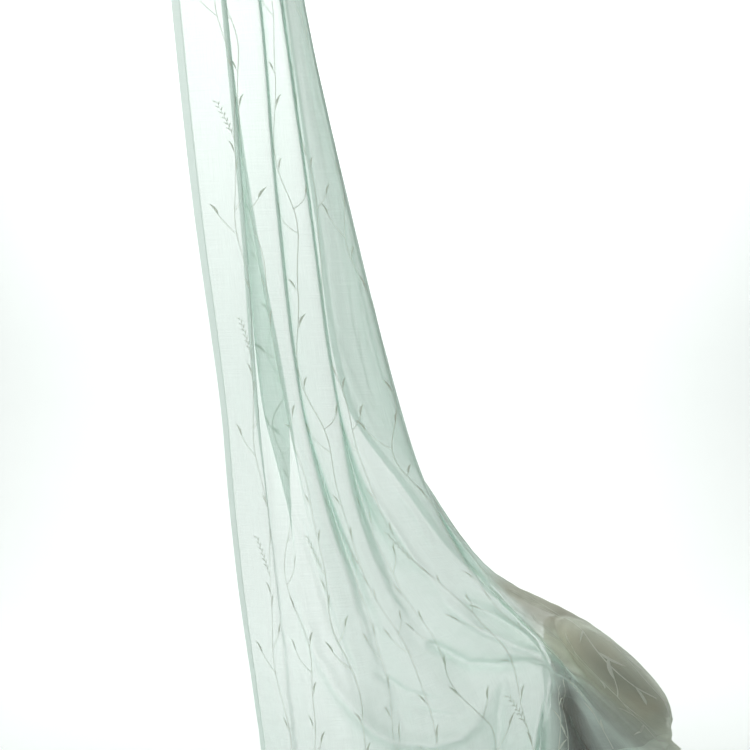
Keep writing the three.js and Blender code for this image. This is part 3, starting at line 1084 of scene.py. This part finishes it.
@dataclass
class Embroidery:
    """Stitched stems, leaves and ears all over the panel, raised on both its faces.

    Every second stem's sprigs start lower down, by the stagger's share of the repeat. Each sprig
    is moved up or down by up to the jitter.
    """

    drape: Drape
    repeat: float = 505
    spacing: float = 117
    first: float = 112
    stagger: float = 0.37
    jitter: float = 7
    seed: int = 40
    step: float = 7
    raised: float = 0.45
    stem_width: float = 1.5
    leaf_share: float = 0.16
    trail_leaf_share: float = 0.13
    leaf_bow: float = 0.09
    grains: int = 12
    grain_lean: float = 0.62
    grain_share: float = 0.24
    grain_sizes: tuple[float, float] = (11.5, 8.5)
    ear_share: float = 0.86
    _stems: list[np.ndarray] = field(default_factory=list)
    _leaves: list[np.ndarray] = field(default_factory=list)
    _grains: list[np.ndarray] = field(default_factory=list)

    def build(self) -> list[bpy.types.Object]:
        """Makes the embroidery.

        Returns:
            Its three pieces: the stems, the leaves and the ears' grains.
        """
        kinds = (REAPED, TRAILING)
        for index, place in enumerate(np.arange(self.first, CUT.width - CUT.side_hem, self.spacing)):
            self._grow(kinds[index % 2], place, index)
        for trail in TRAILS:
            self._trail(trail)
        made = [
            self._piece("stitched_stems", self._stems, self.stem_width),
            self._piece("stitched_leaves", self._leaves, 0.0),
            self._piece("stitched_grains", self._grains, 0.0),
        ]
        thread = ThreadFinish().material()
        for piece in made:
            dress(piece, thread)
        return made

    def _middle(self, stem: Stem, place: float, index: int, down: np.ndarray) -> np.ndarray:
        """Gives the stem's distance across the cloth at distances down it."""
        turn = stem.turn + 0.5 * index
        wave = np.sin(2 * math.pi * down / self.repeat + turn)
        return place + stem.sway * (wave + 0.35 * np.sin(4 * math.pi * down / self.repeat + 2.2 * turn))

    def _grow(self, stem: Stem, place: float, index: int) -> None:
        """Charts one stem and all its sprigs."""
        start = CUT.top_hem + 2
        end = CUT.drop - CUT.bottom_hem - 2
        down = np.arange(start, end, self.step)
        line = np.stack([self._middle(stem, place, index, down), down], axis=1)
        self._stems.append(self._tapered(line, 1.0, 1.0))
        rng = np.random.default_rng(self.seed + index)
        offset = 0.0 if index % 2 == 0 else self.stagger * self.repeat
        for k in range(-1, int(CUT.drop / self.repeat) + 1):
            for sprig in stem.sprigs:
                at = k * self.repeat + offset + sprig.down + rng.uniform(-self.jitter, self.jitter)
                reach = sprig.twig + sprig.size
                if start + reach < at < end - 6:
                    root = np.array([float(self._middle(stem, place, index, np.array(at))), at])
                    self._sprig(sprig, root, rng)

    def _sprig(self, sprig: Sprig, root: np.ndarray, rng: np.random.Generator) -> None:
        """Charts a twig, its leaf or its ear, growing up from its root."""
        side = sprig.side.value
        lean = sprig.lean * rng.uniform(0.88, 1.12)
        bend = rng.uniform(0.35, 0.6)
        steps = max(4, round(sprig.twig / 6))
        share = np.linspace(0, 1, steps + 1)
        angle = lean * (1 - bend * share) + 0.12
        step = np.stack([side * np.sin(angle), -np.cos(angle)], axis=1) * (sprig.twig / steps)
        twig = root + np.concatenate([[[0, 0]], np.cumsum(step[:-1], axis=0)])
        self._stems.append(self._tapered(twig, 1.0, 0.8))
        tip, way = twig[-1], step[-1] / np.linalg.norm(step[-1])
        if sprig.tip is Tip.LEAF:
            self._leaves.append(self._leaf(tip, way, side, sprig.size, self.leaf_share))
            return
        self._ear(tip, way, side, sprig.size * self.ear_share)

    def _ear(self, tip: np.ndarray, way: np.ndarray, side: float, size: float) -> None:
        """Charts an ear: its middle thread and the grains that lean out on both sides of it."""
        rachis = tip + np.linspace(0, 1, 9)[:, None] * way * size
        self._stems.append(self._tapered(rachis, 0.8, 0.4))
        first, last = self.grain_sizes
        for g in range(self.grains):
            share = (g + 0.5) / self.grains
            out = side if g % 2 else -side
            foot = tip + way * size * share + np.array([-way[1], way[0]]) * out * 1.2
            length = first + (last - first) * share
            turn = self._turned(way, self.grain_lean * out)
            self._grains.append(self._leaf(foot, turn, out, length, self.grain_share, 5))

    def _trail(self, trail: Trail) -> None:
        """Charts a stem that is placed from listed points, with its leaves."""
        knots = np.array(trail.path, float)
        at = np.linspace(0, len(knots) - 1, 8 * len(knots))
        line = glide(np.arange(len(knots), dtype=float), knots, at)
        self._stems.append(self._tapered(line, 1.4, 1.2))
        way = np.gradient(line, axis=0)
        way /= np.linalg.norm(way, axis=1, keepdims=True)
        for share, side, lean, size in trail.leaves:
            k = round(share * (len(line) - 1))
            turn = self._turned(way[k], lean * side.value)
            self._leaves.append(self._leaf(line[k], turn, side.value, size, self.trail_leaf_share))

    @staticmethod
    def _turned(way: np.ndarray, angle: float) -> np.ndarray:
        """Turns a direction on the cut cloth by an angle in radians."""
        cos, sin = math.cos(angle), math.sin(angle)
        return np.array([way[0] * cos - way[1] * sin, way[0] * sin + way[1] * cos])

    @staticmethod
    def _tapered(line: np.ndarray, first: float, last: float) -> np.ndarray:
        """Adds to each point of a line its share of the full width."""
        return np.concatenate([line, np.linspace(first, last, len(line))[:, None]], axis=1)

    def _leaf(
        self, foot: np.ndarray, way: np.ndarray, side: float, size: float, share: float, rows: int = 9
    ) -> np.ndarray:
        """Charts a pointed leaf.

        Args:
            foot: Where the leaf begins.
            way: Unit vector along it.
            side: Which way it curves.
            size: Its length.
            share: Its width as a share of its length.
            rows: Steps along it.

        Returns:
            Its middle line with the full width at each point, as x, y, width.
        """
        t = np.linspace(0, 1, rows)
        normal = np.array([-way[1], way[0]])
        bow = side * self.leaf_bow * size * np.sin(math.pi * t)
        line = foot + way * (t * size)[:, None] - normal * bow[:, None]
        width = size * share * (np.sin(math.pi * t**0.82) ** 0.9 + 0.04)
        return np.concatenate([line, width[:, None]], axis=1)

    def _piece(self, name: str, lines: Sequence[np.ndarray], width: float) -> bpy.types.Object:
        """Lays charted lines on the draped cloth, on both its faces.

        Args:
            name: The piece's name.
            lines: Rows of x, y and the width there, on the cut cloth.
            width: Width that the lines' third column is a share of, or 0 where it is the width.

        Returns:
            The mesh of all of them.
        """
        shares = np.array([-0.5, 0.0, 0.5]) if width else np.array([-0.5, -0.26, 0.0, 0.26, 0.5])
        crown = np.array([0.15, 1.0, 0.15]) if width else np.array([0.1, 1.1, 0.65, 1.1, 0.1])
        parts, maps = [], []
        for line in lines:
            path, wide = line[:, :2], line[:, 2] * (width or 1.0)
            way = np.gradient(path, axis=0)
            way /= np.maximum(np.linalg.norm(way, axis=1, keepdims=True), 1e-9)
            across = np.stack([-way[:, 1], way[:, 0]], axis=1)
            spots = path[:, None] + across[:, None] * (shares[None, :, None] * wide[:, None, None])
            spots[..., 0] = np.clip(spots[..., 0], 1, CUT.width - 1)
            run = np.concatenate([[0], np.cumsum(np.linalg.norm(np.diff(path, axis=0), axis=1))])
            chart = np.stack(np.broadcast_arrays(shares * wide[:, None], run[:, None]), axis=2) / CUT.drop
            parts += self.drape.stitched(spots, self.raised * crown + 0.12)
            maps += (chart, chart[:, ::-1])
        return patches(name, parts, maps)


@dataclass
class HemStitches:
    """The short stitches that hold the four hems down."""

    drape: Drape
    pitch: float = 4.4
    length: float = 2.9
    width: float = 0.75
    light: Row = (0.66, 0.74, 0.69)
    shade: Row = (0.5, 0.6, 0.54)

    def build(self) -> bpy.types.Object:
        """Makes every stitch on both faces.

        Returns:
            One piece with all of them.
        """
        across, down = CUT.seams()
        runs = []
        for x in across:
            runs += [((x, d), (0, 1)) for d in np.arange(CUT.top_hem, CUT.drop - 6, self.pitch)]
        for d in down:
            runs += [((x, d), (1, 0)) for x in np.arange(4, CUT.width - 4, self.pitch)]
        foot = np.array([run[0] for run in runs], float)
        way = np.array([run[1] for run in runs], float)
        across = np.stack([-way[:, 1], way[:, 0]], axis=1)
        along = np.array([0.0, 0.5, 1.0]) * self.length
        sides = np.array([-0.5, 0.0, 0.5]) * self.width
        spots = (
            foot[:, None, None]
            + way[:, None, None] * along[None, :, None, None]
            + across[:, None, None] * sides[None, None, :, None]
        )
        rise = np.array([[0.05, 0.2, 0.05], [0.3, 0.55, 0.3], [0.05, 0.2, 0.05]])
        front, back = self.drape.stitched(spots, rise + 0.1)
        shape = spots[..., 0].shape
        chart = np.stack(
            np.broadcast_arrays(sides[None, None, :], along[None, :, None] + np.zeros(shape)), axis=3
        ) / CUT.drop
        piece = patches("hem_stitches", [*front, *back], [*chart, *chart[:, :, ::-1]])
        dress(piece, ThreadFinish("hem_thread", self.light, self.shade).material())
        return piece


@dataclass
class Stool:
    """The plain round stool under the cloth."""

    steps: int = 96
    piping: float = 4.5

    def build(self) -> list[bpy.types.Object]:
        """Makes the padded seat and dresses the drum.

        Returns:
            The seat pad and its piping.
        """
        pad = self._pad()
        piping = self._piping()
        weave = SeatFinish().material()
        for piece in (pad, piping):
            dress(piece, weave)
        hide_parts("stool_seat")
        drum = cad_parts["stool_drum"]
        drum.data.materials.clear()
        drum.data.materials.append(WoodFinish().material())
        LOG.info("stool_drum: dressed")
        return [pad, piping]

    def _pad(self) -> bpy.types.Object:
        """Spins the padded seat and lays it on its slope."""
        low = [(0, -STOOL.drop), (STOOL.radius - STOOL.edge, -STOOL.drop)]
        turned = [
            (STOOL.radius - STOOL.edge * (1 - math.sin(a)), -STOOL.drop + STOOL.edge * (1 - math.cos(a)))
            for a in np.linspace(0.2, math.pi / 2, 5)
        ]
        crown = [
            (STOOL.radius * math.cos(a), STOOL.rise * math.sin(a)) for a in np.linspace(0, math.pi / 2, 26)
        ]
        pad = spun("seat_pad", [*low, *turned, *crown], self.steps)
        return self._sloped(pad)

    def _piping(self) -> bpy.types.Object:
        """Spins the piping round the seam of the seat."""
        ring = [
            (STOOL.radius + self.piping * 0.4 * math.cos(a), self.piping * 0.5 * math.sin(a))
            for a in np.linspace(0, 2 * math.pi, 11)
        ]
        return self._sloped(spun("seat_piping", ring, self.steps))

    @staticmethod
    def _sloped(piece: bpy.types.Object) -> bpy.types.Object:
        """Lays a piece on the stool's slope and moves it to its place."""
        mesh = piece.data
        co = np.empty(len(mesh.vertices) * 3, np.float32)
        mesh.vertices.foreach_get("co", co)
        co = co.reshape(-1, 3)
        co[:, 2] -= STOOL.slope * co[:, 0]
        co += np.array([STOOL.x, STOOL.y, STOOL.middle], np.float32) * MM
        mesh.vertices.foreach_set("co", co.ravel())
        mesh.update()
        return piece


@dataclass(frozen=True)
class Lamp:
    """A square soft light: where it is, what it faces, its side in metres and its power."""

    name: str
    place: Row
    aim: Row
    size: float
    watts: float


LAMPS = (
    Lamp("key", (-1.5, -2.3, 0.0), (0.1, 0, -0.9), 1.2, 31),
    Lamp("backdrop_light", (0.4, 1.6, 1.6), (0.4, 4.2, -0.8), 2.6, 146),
)


@dataclass
class Studio:
    """The camera, the light, the floor and the backdrop, in metres.

    The sweep starts at near, is flat to far, turns up with the radius bend and goes on upright.
    """

    eye: Row = (0.361, -2.760, -1.270)
    lens: float = 57.6
    floor: float = -2.442
    near: float = -3.5
    far: float = 2.6
    bend: float = 1.2
    length: float = 12
    half_width: float = 7
    middle: float = 0.4
    air: Row = (1.0, 0.985, 0.945)
    air_strength: float = 0.31

    def build(self) -> None:
        """Sets the scene up round the part."""
        self._camera()
        self._sweep()
        self._lights()
        scene = bpy.context.scene
        scene.view_settings.view_transform = "Standard"
        scene.cycles.transparent_max_bounces = 64
        scene.cycles.diffuse_bounces = 6
        scene.cycles.max_bounces = 16

    def _camera(self) -> None:
        """Puts the camera level, in front of the cloth, where the photograph was taken from."""
        data = bpy.data.cameras.new("camera")
        data.lens = self.lens
        data.clip_end = 60
        camera = bpy.data.objects.new("camera", data)
        camera.location = self.eye
        camera.rotation_euler = (math.pi / 2, 0, 0)
        bpy.context.scene.collection.objects.link(camera)
        bpy.context.scene.camera = camera

    def _sweep(self) -> None:
        """Makes the floor, with a backdrop that rises from it in one sweep."""
        bm = bmesh.new()
        bmesh.ops.create_grid(bm, x_segments=2, y_segments=40, size=1.0)
        for vert in bm.verts:
            run = (vert.co.y + 1) / 2 * self.length
            flat = min(run, self.far - self.near)
            turn = min(max(run - flat, 0), self.bend * math.pi / 2)
            rest = max(run - flat - turn, 0)
            angle = turn / self.bend
            vert.co = (
                vert.co.x * self.half_width + self.middle,
                flat + self.near + self.bend * math.sin(angle),
                self.floor + self.bend * (1 - math.cos(angle)) + rest,
            )
        sweep = linked("studio_sweep", bm)
        sweep.data.materials.append(StudioFinish().material())

    def _lights(self) -> None:
        """Adds soft light from the left and above, light on the backdrop, and pale air all round."""
        world = bpy.data.worlds.new("studio_air")
        world.use_nodes = True
        air = world.node_tree.nodes["Background"]
        air.inputs["Color"].default_value = (*self.air, 1.0)
        air.inputs["Strength"].default_value = self.air_strength
        bpy.context.scene.world = world
        for lamp in LAMPS:
            data = bpy.data.lights.new(lamp.name, "AREA")
            data.size = lamp.size
            data.energy = lamp.watts
            light = bpy.data.objects.new(lamp.name, data)
            light.visible_camera = False
            light.location = lamp.place
            ray = Vector(lamp.aim) - Vector(lamp.place)
            light.rotation_euler = ray.to_track_quat("-Z", "Y").to_euler()
            bpy.context.scene.collection.objects.link(light)


def main() -> None:
    """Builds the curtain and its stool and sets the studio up."""
    logging.basicConfig(level=logging.INFO, format="%(message)s")
    drape = Drape()
    LOG.info("drape: %d by %d points", len(drape.downs), len(drape.flats))
    panel = Panel(drape).build()
    sewn = [*Embroidery(drape).build(), HemStitches(drape).build()]
    Stool().build()
    Studio().build()


if __name__ == "__main__":
    main()
